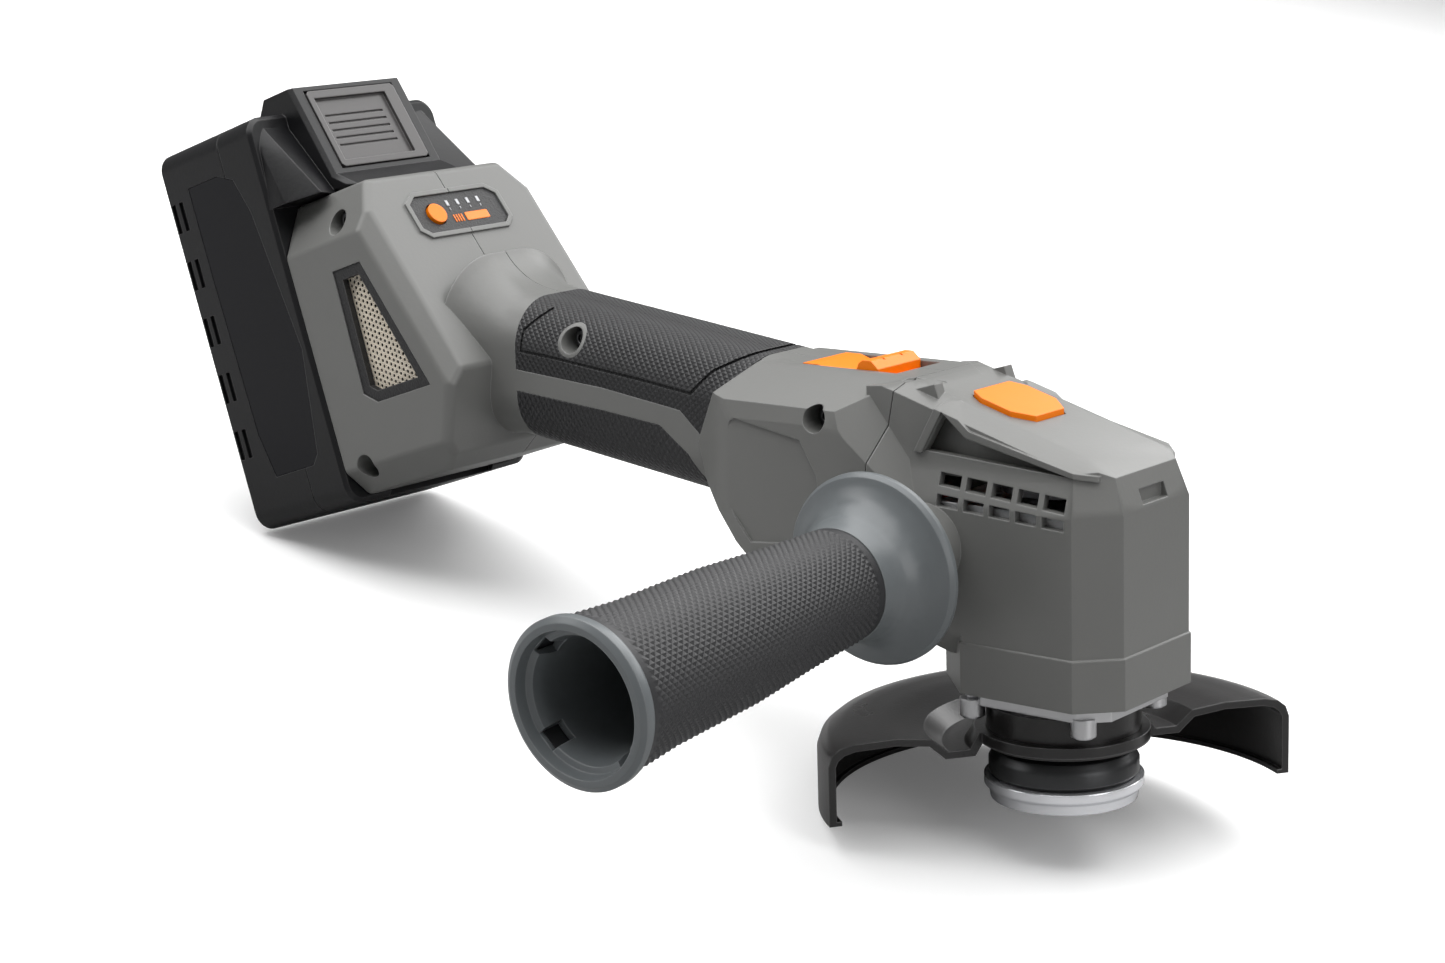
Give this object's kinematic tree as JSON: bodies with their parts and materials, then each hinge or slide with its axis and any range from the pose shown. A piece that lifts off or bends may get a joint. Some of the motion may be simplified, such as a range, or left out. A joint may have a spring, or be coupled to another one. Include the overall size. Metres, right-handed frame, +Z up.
{
  "type": "angle grinder",
  "caption": "Battery angle grinder with a direct-drive head, half guard, slide switch, spindle lock, side handle and slide-on battery pack.",
  "frame": {"origin": "on the spindle axis, at the plane that the wheel seats on", "axes": "the tool lies as on a bench: +X from the battery towards the head, +Y to the user's left, +Z up from the bench; the spindle leans back from +Z by 12.7 degrees in the XZ plane"},
  "size_m": [0.3682, 0.2291, 0.1345],
  "materials": {
    "housing_grey": "satin mid-grey moulding",
    "grip_rubber": "black rubber with a diamond texture",
    "handle_grey": "satin blue-grey moulding",
    "black_plastic": "black moulding",
    "gloss_black": "smoked glossy inset",
    "orange": "satin orange moulding",
    "latch_grey": "warm dark grey moulding",
    "mesh": "pale perforated sheet",
    "steel": "ground steel",
    "zinc": "bright zinc plate",
    "black_steel": "black satin coating",
    "dark_steel": "dark oxide finish",
    "aluminium": "cast aluminium",
    "brass": "turned brass",
    "copper": "enamelled copper",
    "board": "green circuit board",
    "lamination": "steel laminations",
    "cell_wrap": "blue shrink sleeve",
    "lead": "red insulation"
  },
  "bodies": {
    "housing": {"housing_right": "housing_grey", "housing_left": "housing_grey", "head_cover": "housing_grey", "grip_top_right": "grip_rubber", "grip_top_left": "grip_rubber", "grip_bottom_right": "grip_rubber", "grip_bottom_left": "grip_rubber", "housing_screws": "dark_steel", "handle_insert_right": "brass", "handle_insert_left": "brass", "vent_frame_right": "black_plastic", "vent_frame_left": "black_plastic", "vent_mesh_right": "mesh", "vent_mesh_left": "mesh", "control_panel": "black_plastic", "control_board": "board", "battery_dock": "black_plastic", "terminal_block": "black_plastic", "terminal_blades": "copper", "controller": "black_plastic", "motor_leads": "lead", "microswitch": "black_plastic", "lower_bearing": "steel", "upper_bearing": "steel", "bearing_retainer": "dark_steel", "stator_core": "lamination", "windings": "copper", "sensor_board": "board", "bearing_bracket": "aluminium", "spindle_housing": "aluminium", "spindle_housing_screws": "steel"},
    "rotor": {"spindle": "dark_steel", "lock_ring": "steel", "fan": "black_plastic", "rotor_core": "lamination", "rotor_magnets": "steel", "inner_flange": "dark_steel"},
    "nut": {"lock_nut": "zinc"},
    "wheel_guard": {"guard": "black_steel", "guard_collar": "black_steel"},
    "switch": {"slide_switch": "orange", "switch_slider": "black_plastic"},
    "spindle_lock": {"spindle_lock_button": "orange", "lock_pin": "steel", "lock_spring": "steel"},
    "mode": {"mode_button": "orange"},
    "battery": {"battery_case_rear": "black_plastic", "battery_case_front": "black_plastic", "battery_side_panel_right": "gloss_black", "battery_side_panel_left": "gloss_black", "battery_cells": "cell_wrap", "cell_holder": "black_plastic", "battery_board": "board", "battery_contacts": "copper"},
    "latch": {"latch_button": "latch_grey", "latch_spring": "steel"},
    "side_handle": {"side_handle_core": "handle_grey", "side_handle_grip": "grip_rubber", "side_handle_stud": "steel"}
  },
  "joints": [
    {"name": "spindle_spin", "type": "hinge", "parent": "housing", "child": "rotor", "pos_m": [0, 0, 0], "axis": [-0.2197, 0, 0.9756], "continuous": true},
    {"name": "lock_nut_off", "type": "slide", "parent": "rotor", "child": "nut", "axis": [0.2197, 0, -0.9756], "range_m": [0, 0.014]},
    {"name": "guard_turn", "type": "hinge", "parent": "housing", "child": "wheel_guard", "pos_m": [-0.00308, 0, 0.01366], "axis": [-0.2197, 0, 0.9756], "range_deg": [-75, 75]},
    {"name": "switch_slide", "type": "slide", "parent": "housing", "child": "switch", "axis": [0.9756, 0, 0.2197], "range_m": [0, 0.006]},
    {"name": "spindle_lock_press", "type": "slide", "parent": "housing", "child": "spindle_lock", "axis": [0.2197, 0, -0.9756], "range_m": [0, 0.003], "stiffness_N_per_m": 800, "springref_m": -0.002},
    {"name": "mode_press", "type": "slide", "parent": "housing", "child": "mode", "axis": [-0.6277, 0, -0.7784], "range_m": [0, 0.0008], "stiffness_N_per_m": 900, "springref_m": -0.0006},
    {"name": "battery_slide", "type": "slide", "parent": "housing", "child": "battery", "axis": [-0.5084, 0, 0.8611], "range_m": [0, 0.075]},
    {"name": "latch_press", "type": "slide", "parent": "battery", "child": "latch", "axis": [-0.6787, 0, -0.7344], "range_m": [0, 0.0026], "stiffness_N_per_m": 900, "springref_m": -0.002},
    {"name": "side_handle_out", "type": "slide", "parent": "housing", "child": "side_handle", "axis": [0.0372, -0.9978, -0.0541], "range_m": [0, 0.02]}
  ]
}
